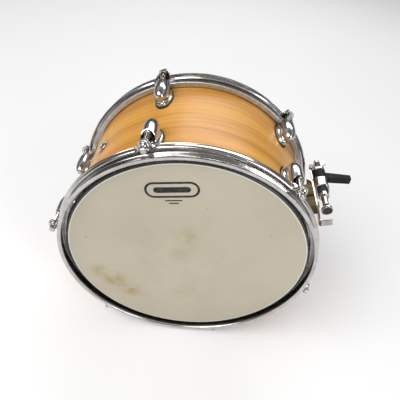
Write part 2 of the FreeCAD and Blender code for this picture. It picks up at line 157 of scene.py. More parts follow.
def addPiece(name, shape, finish, station=0.0, farSide=False, body="drum", standsFor=(),
             lining=None):
    points, faces = shape
    mesh = bpy.data.meshes.new(name)
    mesh.from_pydata(points, [], faces)
    work = bmesh.new()
    work.from_mesh(mesh)
    bmesh.ops.remove_doubles(work, verts=work.verts, dist=0.002)
    bmesh.ops.dissolve_degenerate(work, edges=work.edges, dist=0.0005)
    if lining:  # a second finish for the faces whose middle passes the test
        for face in work.faces:
            face.material_index = int(lining[1](face.calc_center_median()))
    work.transform(placing(station, farSide))
    bmesh.ops.recalc_face_normals(work, faces=work.faces)
    for face in work.faces:
        face.smooth = True
    work.to_mesh(mesh)
    work.free()
    mesh.set_sharp_from_angle(angle=sharpAngle)
    mesh.materials.append(finish)
    if lining:
        mesh.materials.append(lining[0])
    piece = bpy.data.objects.new(name, mesh)
    bpy.context.scene.collection.objects.link(piece)
    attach(piece, body)
    if standsFor:
        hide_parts(*standsFor)
    return piece


def drill(piece, bores):
    # bores are (start, end, radius) where the piece stands at rest, in metres
    points, faces = [], []
    for start, end, radius in bores:
        axis = (end - start).normalized()
        across = axis.orthogonal().normalized()
        other = axis.cross(across)
        rings = []
        for centre in (start, end):
            rings.append([tuple(centre + (across * math.cos(a) + other * math.sin(a)) * radius)
                          for a in (2 * math.pi * k / boreSides for k in range(boreSides))])
        points, faces = joined((points, faces), loft(rings))
    mesh = bpy.data.meshes.new("bores")
    mesh.from_pydata(points, [], faces)
    work = bmesh.new()
    work.from_mesh(mesh)
    bmesh.ops.recalc_face_normals(work, faces=work.faces)
    work.to_mesh(mesh)
    work.free()
    cutter = bpy.data.objects.new("bores", mesh)
    bpy.context.scene.collection.objects.link(cutter)
    cut = piece.modifiers.new("bores", "BOOLEAN")
    cut.object = cutter
    cut.operation = "DIFFERENCE"
    cut.solver = "EXACT"
    bpy.context.view_layer.update()
    evaluated = piece.evaluated_get(bpy.context.evaluated_depsgraph_get())
    finished = bpy.data.meshes.new_from_object(evaluated)
    piece.modifiers.clear()
    piece.data = finished
    bpy.data.objects.remove(cutter)


# finish helpers

def newFinish(name):
    finish = bpy.data.materials.new(name)
    finish.use_nodes = True
    return finish, finish.node_tree, finish.node_tree.nodes["Principled BSDF"]


def addNode(tree, kind, inputs, **settings):
    node = tree.nodes.new("ShaderNode" + kind)
    for key, value in settings.items():
        setattr(node, key, value)
    for key, value in inputs.items():
        if isinstance(value, bpy.types.NodeSocket):
            tree.links.new(value, node.inputs[key])
        else:
            node.inputs[key].default_value = value
    return node


def stretched(tree, place, scale):
    return addNode(tree, "Mapping", {"Vector": place, "Scale": scale}).outputs[0]


def objectPlace(tree, scale=(1, 1, 1)):
    return stretched(tree, addNode(tree, "TexCoord", {}).outputs["Object"], scale)


def noise(tree, place, scale, detail=3.0, roughness=0.5, distortion=0.0):
    inputs = {
        "Vector": place, "Scale": scale, "Detail": detail,
        "Roughness": roughness, "Distortion": distortion,
    }
    return addNode(tree, "TexNoise", inputs).outputs[0]


def spread(tree, value, low, high, toLow=0.0, toHigh=1.0, smooth=False):
    inputs = {"Value": value, "From Min": low, "From Max": high, "To Min": toLow, "To Max": toHigh}
    kind = "SMOOTHSTEP" if smooth else "LINEAR"
    return addNode(tree, "MapRange", inputs, interpolation_type=kind).outputs[0]


def maths(tree, operation, first, second):
    return addNode(tree, "Math", {0: first, 1: second}, operation=operation).outputs[0]


def plus(tree, first, second):
    return maths(tree, "ADD", first, second)


def times(tree, first, second):
    return maths(tree, "MULTIPLY", first, second)


def minus(tree, first, second):
    return maths(tree, "SUBTRACT", first, second)


def mixed(tree, share, first, second):
    first, second = ((*side, 1) if isinstance(side, tuple) else side for side in (first, second))
    return addNode(tree, "Mix", {0: share, 6: first, 7: second}, data_type="RGBA").outputs[2]


def tones(tree, value, stops):
    node = addNode(tree, "ValToRGB", {0: value})
    ramp = node.color_ramp
    while len(ramp.elements) < len(stops):
        ramp.elements.new(0.5)
    for element, (place, colour) in zip(ramp.elements, stops):
        element.position = place
        element.color = (*colour, 1)
    return node.outputs[0]


def relief(tree, shader, height, strength, distance):
    bump = addNode(tree, "Bump", {"Height": height, "Strength": strength, "Distance": distance})
    tree.links.new(bump.outputs[0], shader.inputs["Normal"])


def makeChrome(name, look):
    # bright plating: hazy smears, a slow wave in the surface, and small pits in patches
    finish, tree, shader = newFinish(name)
    place = objectPlace(tree)
    shader.inputs["Metallic"].default_value = 1.0
    smear = noise(tree, place, look["smearScale"], 5, 0.6, 0.4)
    fine = noise(tree, place, look["fineScale"], 4, 0.6)
    cells = addNode(tree, "TexVoronoi", {"Vector": place, "Scale": look["pitScale"]})
    patches = spread(tree, noise(tree, place, look["patchScale"], 3, 0.6), 0.52, 0.66)
    pits = times(tree, spread(tree, cells.outputs["Distance"], 0.22, 0.12), patches)
    pits = times(tree, pits, look["pitting"])
    clean = mixed(tree, spread(tree, smear, 0.35, 0.7), look["bright"], look["dull"])
    tree.links.new(mixed(tree, pits, clean, look["pitColour"]), shader.inputs["Base Color"])
    haze = spread(tree, smear, 0.4, 0.75, look["roughLow"], look["roughHigh"])
    haze = plus(tree, haze, times(tree, fine, 0.05))
    tree.links.new(plus(tree, haze, times(tree, pits, look["pitRough"])), shader.inputs["Roughness"])
    wave = noise(tree, place, look["waveScale"], 2, 0.5)
    height = minus(tree, times(tree, wave, look["wave"]), times(tree, pits, look["pitDepth"]))
    relief(tree, shader, plus(tree, height, times(tree, fine, 0.02)), 0.35, 0.0006)
    return finish


woodLook = {
    "pale": (0.70, 0.345, 0.062), "body": (0.60, 0.272, 0.041), "warm": (0.46, 0.188, 0.026),
    "streak": (0.20, 0.070, 0.011), "coat": 0.16, "coatRough": 0.24, "specular": 0.3,
    "drift": 0.035,  # how far the grain wanders along the drum, in metres
    "broad": (3.2, 42, 3.2), "narrow": (3.6, 300, 3.6), "pores": (16, 1500, 16),
}


def makeWood(look):
    # lacquered veneer with its grain running round the shell
    finish, tree, shader = newFinish("lacqueredWood")
    drift = noise(tree, objectPlace(tree, (5, 9, 5)), 1.0, 2, 0.5)
    parts = addNode(tree, "SeparateXYZ", {0: addNode(tree, "TexCoord", {}).outputs["Object"]}).outputs
    bent = plus(tree, parts[1], times(tree, drift, look["drift"]))
    line = addNode(tree, "CombineXYZ", {0: parts[0], 1: bent, 2: parts[2]}).outputs[0]
    bands = noise(tree, stretched(tree, line, look["broad"]), 1.0, 4, 0.55, 0.25)
    lines = noise(tree, stretched(tree, line, look["narrow"]), 1.0, 4, 0.6, 0.15)
    pores = noise(tree, stretched(tree, line, look["pores"]), 1.0, 3, 0.6)
    colour = tones(tree, bands, [
        (0.30, look["warm"]), (0.47, look["body"]), (0.62, look["pale"]), (0.8, look["body"]),
    ])
    figure = spread(tree, bands, 0.36, 0.56, 1.0, 0.25)
    dark = times(tree, spread(tree, lines, 0.52, 0.64, 0, 0.85), figure)
    colour = mixed(tree, dark, colour, look["streak"])
    colour = mixed(tree, spread(tree, lines, 0.42, 0.30, 0, 0.45), colour, look["pale"])
    colour = mixed(tree, spread(tree, pores, 0.55, 0.75, 0, 0.30), colour, look["streak"])
    tree.links.new(colour, shader.inputs["Base Color"])
    tree.links.new(spread(tree, pores, 0.3, 0.7, 0.34, 0.46), shader.inputs["Roughness"])
    shader.inputs["Coat Weight"].default_value = look["coat"]
    shader.inputs["Coat Roughness"].default_value = look["coatRough"]
    shader.inputs["Specular IOR Level"].default_value = look["specular"]
    relief(tree, shader, plus(tree, lines, times(tree, pores, 0.6)), 0.12, 0.0003)
    return finish


def fromAxis(tree, x, up):
    # distance in metres, in the plane of the heads, from a spot given in millimetres from the axis
    coords = addNode(tree, "TexCoord", {}).outputs["Object"]
    spot = (axisX + x * mm, 0, axisZ + up * mm)
    moved = addNode(tree, "VectorMath", {0: coords, 1: spot}, operation="SUBTRACT").outputs[0]
    flat = addNode(tree, "VectorMath", {0: moved, 1: (1, 0, 1)}, operation="MULTIPLY").outputs[0]
    return addNode(tree, "VectorMath", {0: flat}, operation="LENGTH").outputs["Value"]


def makeFilm(name, look):
    # sprayed coating with a worn middle, stains and specks, then a pale line painted as the highlight
    # of the film's bend, and a dark collar ring that is partly the clear collar over the dark inside
    # and partly painted shade under the rim's inner edge
    finish, tree, shader = newFinish(name)
    place = objectPlace(tree)
    cloud = noise(tree, place, look["cloudScale"], 3, 0.55)
    grit = noise(tree, place, look["gritScale"], 2, 0.6)
    fleck = noise(tree, place, look["fleckScale"], 3, 0.6)
    scuff = noise(tree, place, look["scuffScale"], 5, 0.65)
    colour = mixed(tree, spread(tree, cloud, 0.35, 0.68), look["coating"], look["shade"])
    wear = spread(tree, fromAxis(tree, 0, 0), 0.02, 0.10, 0.5, 0.0, True)
    colour = mixed(tree, times(tree, wear, spread(tree, scuff, 0.45, 0.7)), colour, look["worn"])
    away = plus(tree, fromAxis(tree, 0, 0), times(tree, cloud, 0.0012))
    # painted highlight: the pale line mixed in here stands for the light caught by the film's bend near
    # the collar
    colour = mixed(tree, spread(tree, away, *look["bendHighlightFrom"], 0, 1, True), colour, look["clear"])
    # painted shade: the dark ring at the collar stands partly for the shade under the rim's inner edge,
    # partly for the clear collar over the dark inside
    edge = spread(tree, away, *look["collarFrom"], 0, 1, True)
    colour = mixed(tree, edge, colour, look["collar"])
    blotch = noise(tree, place, look["blotchScale"], 5, 0.65)
    for x, up, size, strength in look["stains"]:
        near = spread(tree, fromAxis(tree, x, up), size * mm, 0.0, 0, 1, True)
        share = times(tree, near, spread(tree, blotch, 0.34, 0.58, 0.0, strength))
        colour = mixed(tree, share, colour, look["stain"])
    for x, up, size in look["dots"]:
        near = spread(tree, fromAxis(tree, x, up), size * mm, size * mm * 0.4, 0, 0.7, True)
        colour = mixed(tree, near, colour, look["dot"])
    tree.links.new(colour, shader.inputs["Base Color"])
    rough = minus(tree, spread(tree, fleck, 0.3, 0.7, 0.50, 0.62), times(tree, edge, 0.3))
    tree.links.new(rough, shader.inputs["Roughness"])
    shader.inputs["Subsurface Weight"].default_value = 0.08
    shader.inputs["Subsurface Radius"].default_value = (0.004, 0.003, 0.002)
    sprayed = times(tree, grit, spread(tree, edge, 0, 1, 1, 0.1))
    relief(tree, shader, plus(tree, sprayed, times(tree, cloud, 0.8)), 0.25, 0.0002)
    return finish


def makeRubber(name, colour, worn, rough=0.75):
    finish, tree, shader = newFinish(name)
    place = objectPlace(tree)
    dust = noise(tree, place, 160, 4, 0.65)
    colour = mixed(tree, spread(tree, dust, 0.45, 0.75), colour, worn)
    tree.links.new(colour, shader.inputs["Base Color"])
    tree.links.new(spread(tree, dust, 0.3, 0.7, rough, rough - 0.15), shader.inputs["Roughness"])
    shader.inputs["Specular IOR Level"].default_value = 0.25
    relief(tree, shader, noise(tree, place, 1500, 2, 0.5), 0.3, 0.0001)
    return finish


def makeFlatSteel(name, colour, dull, rough, metallic=1.0):
    finish, tree, shader = newFinish(name)
    shader.inputs["Metallic"].default_value = metallic
    place = objectPlace(tree)
    patch = noise(tree, place, 180, 4, 0.6)
    colour = mixed(tree, spread(tree, patch, 0.35, 0.7), colour, dull)
    tree.links.new(colour, shader.inputs["Base Color"])
    tree.links.new(spread(tree, patch, 0.3, 0.7, rough, rough + 0.18), shader.inputs["Roughness"])
    relief(tree, shader, noise(tree, place, 900, 3, 0.6), 0.2, 0.0001)
    return finish


chromeLook = {
    "bright": (0.60, 0.585, 0.575), "dull": (0.43, 0.41, 0.39), "pitColour": (0.13, 0.10, 0.075),
    "roughLow": 0.05, "roughHigh": 0.17, "smearScale": 55, "fineScale": 420, "patchScale": 30,
    "pitting": 0.7, "pitScale": 700.0, "pitRough": 0.35, "pitDepth": 0.3, "waveScale": 45, "wave": 1.1,
}
lugTone = {"wave": 0.8, "waveScale": 75, "pitting": 0.5}
rodTone = {"wave": 0.1, "dull": (0.42, 0.40, 0.36), "pitting": 0.9}
bracketTone = {
    "bright": (0.47, 0.455, 0.44), "dull": (0.31, 0.295, 0.275), "wave": 0.6, "waveScale": 75,
}
rimChrome = makeChrome("rimChrome", chromeLook)
lugChrome = makeChrome("lugChrome", {**chromeLook, **lugTone})
rodChrome = makeChrome("rodChrome", {**chromeLook, **rodTone})
bracketChrome = makeChrome("bracketChrome", {**chromeLook, **bracketTone})
lacqueredWood = makeWood(woodLook)
filmLook = {
    "coating": (0.465, 0.42, 0.325), "shade": (0.415, 0.37, 0.28), "worn": (0.375, 0.33, 0.24),
    # painted highlight and shade: clear is the pale line painted as light caught by the film's bend;
    # the dark collar ring is partly painted shade under the rim's inner edge
    "clear": (0.66, 0.65, 0.60), "collar": (0.03, 0.029, 0.026),
    "stain": (0.33, 0.24, 0.085), "dot": (0.08, 0.055, 0.035),
    "cloudScale": 9, "gritScale": 1900, "fleckScale": 260, "scuffScale": 38, "blotchScale": 70,
    "bendHighlightFrom": (0.1471, 0.1477), "collarFrom": (0.1483, 0.1488),  # metres from the axis
    "stains": [  # across, up, size, strength
        (-94, -60, 26, 0.9), (-114, -43, 20, 0.75), (-72, -80, 22, 0.85),
        (-2, 45, 24, 0.4), (-12, 12, 18, 0.35), (2, -70, 26, 0.35),
    ],
    "dots": [(-125, 21, 1.6), (14, 92, 0.9), (92, 63, 1.0)],  # across, up, size
}
cleanerTone = {"stains": [(30, -40, 40, 0.12)], "dots": [(50, 61, 1.2)]}
batterCoating = makeFilm("batterCoating", filmLook)
resonantFilm = makeFilm("resonantFilm", {**filmLook, **cleanerTone})
blockRubber = makeRubber("blockRubber", (0.115, 0.088, 0.032), (0.20, 0.165, 0.085))
sealRubber = makeRubber("sealRubber", (0.02, 0.02, 0.02), (0.05, 0.05, 0.045))
leverPlastic = makeRubber("leverPlastic", (0.004, 0.004, 0.004), (0.012, 0.012, 0.012), 0.7)
inkBlack = makeRubber("inkBlack", (0.012, 0.012, 0.014), (0.05, 0.047, 0.042), 0.6)
# painted shade: a dark finish laid on the faces inside the lug hollows and in the dish of the clamp
# bolt's head, standing for the shade in these recesses
recessShade = makeFlatSteel("recessShade", (0.09, 0.085, 0.08), (0.04, 0.038, 0.035), 0.55, 0.6)
hoopAluminium = makeFlatSteel("hoopAluminium", (0.62, 0.62, 0.62), (0.45, 0.44, 0.42), 0.35)
nutSteel = makeFlatSteel("nutSteel", (0.52, 0.50, 0.44), (0.36, 0.33, 0.27), 0.28)
fastenerSteel = makeFlatSteel("fastenerSteel", (0.58, 0.57, 0.55), (0.40, 0.38, 0.35), 0.25)
print("finishes made:", len(bpy.data.materials))


# wooden shell

shellLook = {
    "wall": 6.0, "lip": 6.5, "cut": 4.5, "round": 1.5,  # lip is the rim's height over the bearing edge
    "vent": 5.7, "ventDepth": 90.0, "ventTurn": -31.5,
}


def buildShell(look):
    near = look["lip"]
    far = 2 * halfSpan - near
    inner = shellRadius - look["wall"]
    peak = shellRadius - look["round"]
    outline = softPath([
        (inner, near + look["cut"], 1.0), (peak, near, 0.5), (shellRadius, near + look["round"], 0.5),
        (shellRadius, far - look["round"], 0.5), (peak, far, 0.5), (inner, far - look["cut"], 1.0),
    ])
    shell = addPiece("woodenShell", aroundDrum(outline), lacqueredWood,
                     standsFor=("shell",))
    turn = placing(stations[0] + math.radians(look["ventTurn"]))
    low = turn @ Vector((0, yAt(look["ventDepth"]), inner - 5))
    high = turn @ Vector((0, yAt(look["ventDepth"]), shellRadius + 5))
    drill(shell, [(low, high, look["vent"] * mm)])


buildShell(shellLook)
print("shell built")


# heads

headLook = {"plane": 6.5, "thick": 0.3, "bend": 1.5, "foot": 18.4, "markThick": 0.08}


def buildHead(side, farSide, finish):
    look = headLook
    peak = shellRadius - look["bend"]
    drop = shellRadius + 0.1
    thick = look["thick"]
    front = softPath([
        (0, look["plane"], 0), (peak, look["plane"], 0.9), (drop, look["plane"] + look["bend"], 0.9),
        (drop + 0.2, look["foot"], 0),
    ])
    back = softPath([
        (drop + 0.2 + thick, look["foot"], 0), (drop + thick, look["plane"] + look["bend"] - 0.1, 0.9),
        (peak + 0.2, look["plane"] - thick, 0.9), (0, look["plane"] - thick, 0),
    ])
    outline = front + back
    # the flat is divided into rings, so that its triangles stay short
    flat = [(peak * share, look["plane"]) for share in (0.25, 0.5, 0.75, 0.92)]
    flatBack = [(u, look["plane"] - thick) for u, v in flat[::-1]]
    outline = outline[:1] + flat + outline[1:-1] + flatBack + outline[-1:]
    addPiece(side + "Head", aroundDrum(outline), finish, farSide=farSide,
             standsFor=(side + "_film",))


buildHead("batter", False, batterCoating)
buildHead("resonant", True, resonantFilm)
print("heads built")


# printed mark on the batter head: a plain ring with a bar in it, and two short rules under it

markLook = {
    "x": -4.7, "up": 115.0, "tilt": -10.6, "width": 59.0, "height": 21.0, "line": 2.6,
    "bar": (40.0, 7.4), "rules": ((19.0, -14.6), (11.0, -18.4)), "ruleHeight": 1.6,
}


def roundedBar(width, height, steps=16):
    radius = height / 2
    points = []
    for side in (1, -1):
        for k in range(steps + 1):
            angle = math.pi * k / steps - math.pi / 2
            reach = width / 2 - radius + radius * math.cos(angle)
            points.append((side * reach, side * radius * math.sin(angle)))
    return points


def buildMark(look):
    tilt = math.radians(look["tilt"])
    top = yAt(headLook["plane"] - headLook["thick"] - headLook["markThick"])
    under = yAt(headLook["plane"] - headLook["thick"] + 0.02)

    def onHead(u, v, y):
        v += look["up"]
        u += look["x"]
        return (u * math.cos(tilt) + v * math.sin(tilt), y, v * math.cos(tilt) - u * math.sin(tilt))

    outer = roundedBar(look["width"], look["height"])
    inner = roundedBar(look["width"] - 2 * look["line"], look["height"] - 2 * look["line"])
    band = []
    for out, into in zip(outer, inner):
        band.append([onHead(*out, under), onHead(*out, top), onHead(*into, top), onHead(*into, under)])
    shapes = [loft(band, closed=True)]
    bars = [(0.0, 0.0, *look["bar"])]
    bars += [(0.0, up, width, look["ruleHeight"]) for width, up in look["rules"]]
    for x, up, width, height in bars:
        flat = roundedBar(width, height)
        shapes.append(loft([[onHead(x + u, up + v, y) for u, v in flat] for y in (under, top)]))
    addPiece("headMark", joined(*shapes), inkBlack)


buildMark(markLook)
print("mark built")


# rims, each with six ears that swing up out of the skirt

rimLook = {
    "sheet": 1.6, "wall": 155.9, "lip": 4.0, "shelf": 14.4, "skirt": 161.8, "drop": 4.9, "bead": 1.7,
    "flat": 5.5, "swing": 14.0, "earRound": 6.8, "hole": 3.3, "rodCircle": 166.5, "splay": 42,
    "earStep": 0.16, "earSteps": 34, "plainSteps": 48,  # degrees and counts of the rings round the rim
}


def rimSection(look, across):
    # across is the distance along the rim from the nearest rod, in millimetres
    half = look["sheet"] / 2
    share = min(max((across - look["flat"]) / (look["swing"] - look["flat"]), 0), 1)
    share = share * share * (3 - 2 * share)
    down = math.radians(90) * share
    splay = math.radians(look["splay"]) * share
    tip = look["rodCircle"] + math.sqrt(max(look["earRound"] ** 2 - across ** 2, 0))
    tab = look["bead"] + max(tip - look["skirt"] - look["drop"] - look["bead"], 0)
    turnX = look["skirt"] + look["drop"] * math.cos(down)
    turnDepth = look["shelf"] - half + look["drop"] * math.sin(down)
    return sheetOutline(softPath([
        (look["wall"] + look["lip"], half, 0), (look["wall"], half, 1.5),
        (look["wall"], look["shelf"] - half, 1.9), (look["skirt"], look["shelf"] - half, 1.9),
        (turnX, turnDepth, 1.1),
        (turnX + tab * math.cos(splay), turnDepth + tab * math.sin(splay), 0),
    ]), look["sheet"])


def buildRim(side, farSide):
    look = rimLook
    count, plain = look["earSteps"], look["plainSteps"]
    reach = count * look["earStep"]
    fine = [k * look["earStep"] for k in range(-count, count + 1)]
    coarse = [reach + (60 - 2 * reach) * k / plain for k in range(1, plain)]
    angles = [station + math.radians(a) for station in stations for a in fine + coarse]
    rings = []
    for angle in angles:
        nearest = min(abs(math.remainder(angle - station, 2 * math.pi)) for station in stations)
        section = rimSection(look, nearest * look["rodCircle"])
        rings.append([(u * math.sin(angle), yAt(v), u * math.cos(angle)) for u, v in section])
    rim = addPiece(side + "Rim", loft(rings, closed=True), rimChrome, farSide=farSide,
                   standsFor=(side + "_rim",))
    bores = []
    for station in stations:
        turn = placing(station, farSide)
        bores.append((turn @ Vector((0, yAt(look["shelf"] - 6), look["rodCircle"])),
                      turn @ Vector((0, yAt(look["shelf"] + 6), look["rodCircle"])), look["hole"] * mm))
    drill(rim, bores)


buildRim("batter", False)
buildRim("resonant", True)
print("rims built")


# lugs: an egg-shaped cap, open towards the rim, on a flared oval foot

lugLook = {
    "axis": 162.6, "radius": 9.0, "tip": 64.0, "widest": 44.0,
    "mouth": (22.0, 35.0), "mouthShare": 0.62, "blunt": 2.4, "belly": 1.1,
    "wall": 1.3, "hollow": 44.0, "gasket": 1.0,
    "footWide": 10.5, "footLong": 20.5, "footMiddle": 44.0, "neckWide": 7.4, "neckLong": 16.5,
    "footLevels": [  # share of the way from neck to edge, height over the gasket
        (0.0, 9.5), (0.10, 6.6), (0.22, 4.6), (0.38, 3.3), (0.56, 2.65), (0.74, 2.5), (0.88, 2.75),
        (0.95, 2.85), (0.985, 2.5), (1.0, 1.9), (1.0, 0.0), (0.5, 0.0), (0.02, 0.0),
    ],
}


def capRadius(look, depth):
    if depth >= look["widest"]:
        share = (depth - look["widest"]) / (look["tip"] - look["widest"])
        return look["radius"] * max(1 - share ** look["blunt"], 0) ** (1 / look["blunt"])
    reach = (look["widest"] - look["mouth"][0]) / look["mouthShare"]
    share = (look["widest"] - depth) / reach
    return look["radius"] * math.sqrt(max(1 - share * share, 0))


def capRing(look, share, inset, steps=56):
    # share 0 is the mouth and 1 the far end of the cap or of its hollow
    end = look["tip"] if inset == 0 else look["hollow"]
    middle = sum(look["mouth"]) / 2
    ring = []
    for k in range(steps):
        angle = 2 * math.pi * k / steps
        start = middle + (look["mouth"][1] - look["mouth"][0]) / 2 * math.sin(angle)
        depth = start + (end - start) * share
        radius = max(capRadius(look, depth) - inset, 0.01)
        rise = radius * math.sin(angle)
        if rise < 0:  # the underside bellies down to the foot
            rise *= 1 + (look["belly"] - 1) * min(1, max(0, depth - look["mouth"][0] - 4) / 14)
        ring.append((radius * math.cos(angle), yAt(depth), look["axis"] + rise))
    return ring


def lugShape(look):
    outer = [capRing(look, math.sin(math.radians(90 * k / 30)), 0) for k in range(31)]
    inner = [capRing(look, k / 8, look["wall"]) for k in range(9)]
    lipRing = []
    for first, second in zip(outer[0], inner[0]):
        middle = (Vector(first) + Vector(second)) / 2
        lipRing.append((middle.x, middle.y - look["wall"] * 0.35, middle.z))
    cap = loft(outer[::-1] + [lipRing] + inner)
    foot = []
    seat = shellRadius + look["gasket"]
    for share, height in look["footLevels"]:
        ring = []
        wide = look["neckWide"] + (look["footWide"] - look["neckWide"]) * share
        long = look["neckLong"] + (look["footLong"] - look["neckLong"]) * share
        for k in range(72):
            angle = 2 * math.pi * k / 72
            x = wide * math.cos(angle)
            y = yAt(look["footMiddle"] + long * math.sin(angle))
            ring.append((x, y, math.sqrt(seat * seat - x * x) + height))
        foot.append(ring)
    return joined(cap, loft(foot))


def buildLugs():
    look = lugLook
    shape = lugShape(look)

    # painted shade: the faces inside the hollow take the dark lining finish, which stands for the shade
    # in the recess
    def inHollow(point):
        depth = point.y + halfSpan
        apart = math.hypot(point.x, point.z - look["axis"])
        return depth < look["hollow"] + 0.5 and apart < capRadius(look, depth) - look["wall"] * 0.8

    for side, farSide in (("batter", False), ("resonant", True)):
        for number, station in enumerate(stations, start=1):
            addPiece("%sLug%d" % (side, number), shape, lugChrome, station, farSide,
                     standsFor=("%s_lug_%d" % (side, number),), lining=(recessShade, inHollow))


buildLugs()
print("lugs built")


# tension rods: square drive, flange and threaded shank

rodLook = {
    "circle": 166.5, "tip": 2.4, "square": 6.2, "flange": 5.4, "seat": 11.5, "shank": 2.7,
    "point": 0.9, "threadStart": 18.0, "end": 40.0, "pitch": 1.06, "threadDepth": 0.28,
    "squareRings": [(0.0, 1.5), (0.12, 0.9), (0.45, 0.35), (1.0, 0.05), (1.5, 0.0), (5.6, 0.0)],
    "flangeRings": [(2.15, 1.5), (1.8, 0.7), (1.55, 0.2), (1.2, 0.0), (0.2, 0.0), (0.0, 0.2)],
}


def rodShape(look, steps=40):
    def squareRadius(angle, half):
        # a rounded square as a superellipse
        c, s = abs(math.cos(angle)), abs(math.sin(angle))
        return half / (c ** 7 + s ** 7) ** (1 / 7)

    half = look["square"] / 2
    rings = []

    angles = [2 * math.pi * k / steps + math.pi / 4 for k in range(steps)]

    def addRing(depth, radiusAt):
        ring = []
        for a in angles:
            radius = radiusAt(a)
            ring.append((radius * math.cos(a), yAt(depth), look["circle"] + radius * math.sin(a)))
        rings.append(ring)

    for depth, inset in look["squareRings"]:
        addRing(look["tip"] + depth, lambda a: squareRadius(a, half - inset))
    for back, inset in look["flangeRings"]:
        addRing(look["seat"] - back, lambda a: look["flange"] - inset)
    addRing(look["seat"], lambda a: look["shank"])
    turnsStep = look["pitch"] / 4
    count = int((look["end"] - look["point"] - look["threadStart"]) / turnsStep)
    for k in range(count + 1):
        depth = look["threadStart"] + k * turnsStep
        grow = min(1, k / 6)
        addRing(depth, lambda a: look["shank"] - look["threadDepth"] * grow
                * (0.5 + 0.5 * math.cos(a - 2 * math.pi * depth / look["pitch"])))
    addRing(look["end"], lambda a: look["shank"] - look["point"])
    return loft(rings)


def buildRods():
    shape = rodShape(rodLook)
    for side, farSide in (("batter", False), ("resonant", True)):
        for number, station in enumerate(stations, start=1):
            node = "%s_rod_%d" % (side, number)
            addPiece("%sRod%d" % (side, number), shape, rodChrome, station, farSide,
                     body=node, standsFor=(node,))


buildRods()
print("rods built")


# bracket plate: a strip with a narrow foot turned out at one end and a tail turned in at the other

plateLook = {
    "inner": 166.5, "thick": 2.5, "start": 45.0, "end": 126.0, "foot": 16.0, "tuck": 6.0,
    "halfWidth": 8.5, "footHalf": 4.6, "neckStart": 49.0, "neckEnd": 62.0,
    "rungs": (54.0, 58.0, 62.0, 70.0),  # depths of the sections added along the flat
    "section": [  # shares of the half width and half thickness
        (-1, 0.55), (-0.94, 1), (0.94, 1), (1, 0.55), (1, -0.55), (0.94, -1), (-0.94, -1), (-1, -0.55),
    ],
}


def buildPlate(look):
    middle = look["inner"] + look["thick"] / 2
    bend = softPath([
        (look["start"] + 1.3, look["inner"] + look["foot"], 0), (look["start"] + 1.3, middle, 2.6),
        (look["end"] - look["tuck"], middle, 2.0), (look["end"], middle - look["tuck"], 0),
    ])
    path = bend[:7] + [(depth, middle) for depth in look["rungs"]] + bend[7:]
    wider = look["halfWidth"] - look["footHalf"]
    sections = []
    for index, (depth, height) in enumerate(path):
        run = Vector(path[min(index + 1, len(path) - 1)]) - Vector(path[max(index - 1, 0)])
        side = Vector((-run.y, run.x)).normalized() * look["thick"] / 2
        share = (depth - look["neckStart"]) / (look["neckEnd"] - look["neckStart"])
        share = min(max(share, 0), 1)
        half = look["footHalf"] + wider * share * share * (3 - 2 * share)
        ring = []
        for x, up in look["section"]:
            ring.append((x * half, yAt(depth + side.x * up), height + side.y * up))
        sections.append(ring)
    addPiece("bracketPlate", loft(sections), bracketChrome, bracketStation,
             standsFor=("bracket_plate",))


buildPlate(plateLook)
print("bracket plate built")


# clamp: a rounded two-part casting on the plate, and the long bolt through it with its dished head

clampLook = {
    "low": 169.0, "top": 189.0, "left": -9.5, "right": 17.5,
    "front": (108.0, 127.0), "rear": (143.0, 149.0), "corner": 3.0, "waist": 0.07, "ease": 2.4,
    "socket": (10.3, 117.5, 173.0, 5.25), "boltBore": 3.96,  # socket: across, depth, floor, radius
    "web": 0.6, "webInset": 3.0, "webLap": 1.5,
}
boltLook = {
    "axis": 179.5, "shank": 3.9, "head": 7.2, "headStart": 66.0, "headThick": 6.0,
    "dish": 1.6, "end": 171.0,
}


def lumpShape(look, span, steps=56):
    start, end = span
    middleX = (look["left"] + look["right"]) / 2
    middleUp = (look["low"] + look["top"]) / 2
    halfX = (look["right"] - look["left"]) / 2
    halfUp = (look["top"] - look["low"]) / 2
    ease = min(look["ease"], (end - start) / 3)
    depths = [start + ease * share for share in (0, 0.12, 0.35, 0.65, 1)]
    depths += [start + ease + (end - start - 2 * ease) * share for share in (0.25, 0.5, 0.75)]
    depths += [end - ease * share for share in (1, 0.65, 0.35, 0.12, 0)]
    rings = []
    for depth in depths:
        edge = min(depth - start, end - depth) / ease
        inset = ease * 0.8 * (1 - math.sqrt(max(1 - (1 - min(edge, 1)) ** 2, 0)))
        inset += look["waist"] * halfUp * (1 - ((2 * depth - start - end) / (end - start)) ** 2)
        ring = []
        for k in range(steps):
            angle = 2 * math.pi * k / steps
            c, s = math.cos(angle), math.sin(angle)
            power = 2 / look["corner"]
            x = middleX + (halfX - inset) * math.copysign(abs(c) ** power, c)
            up = middleUp + (halfUp - (inset if s > 0 else 0)) * math.copysign(abs(s) ** power, s)
            ring.append((x, yAt(depth), up))
        rings.append(ring)
    return loft(rings)


def buildClamp(look, bolt):
    turn = placing(bracketStation)
    x, depth, floor, radius = look["socket"]
    bottom = turn @ Vector((x, yAt(depth), floor))
    mouth = turn @ Vector((x, yAt(depth), look["top"] + 3))
    for part, standsFor in (("front", ("clamp_body",)), ("rear", ())):
        start, end = look[part]
        lump = lumpShape(look, look[part])
        body = addPiece("clamp" + part.title(), lump, bracketChrome, bracketStation,
                        standsFor=standsFor)
        drill(body, [(turn @ Vector((0, yAt(start - 2), bolt["axis"])),
                      turn @ Vector((0, yAt(end + 2), bolt["axis"])), look["boltBore"] * mm)])
        if part == "front":
            drill(body, [(bottom, mouth, radius * mm)])
    left, right = look["left"] + look["webInset"], look["right"] - look["webInset"]
    low, top = look["low"], look["low"] + look["web"]
    web = []
    for depth in (look["front"][1] - look["webLap"], look["rear"][0] + look["webLap"]):
        y = yAt(depth)
        web.append([(left, y, low), (right, y, low), (right, y, top), (left, y, top)])
    addPiece("clampBase", loft(web), bracketChrome, bracketStation)


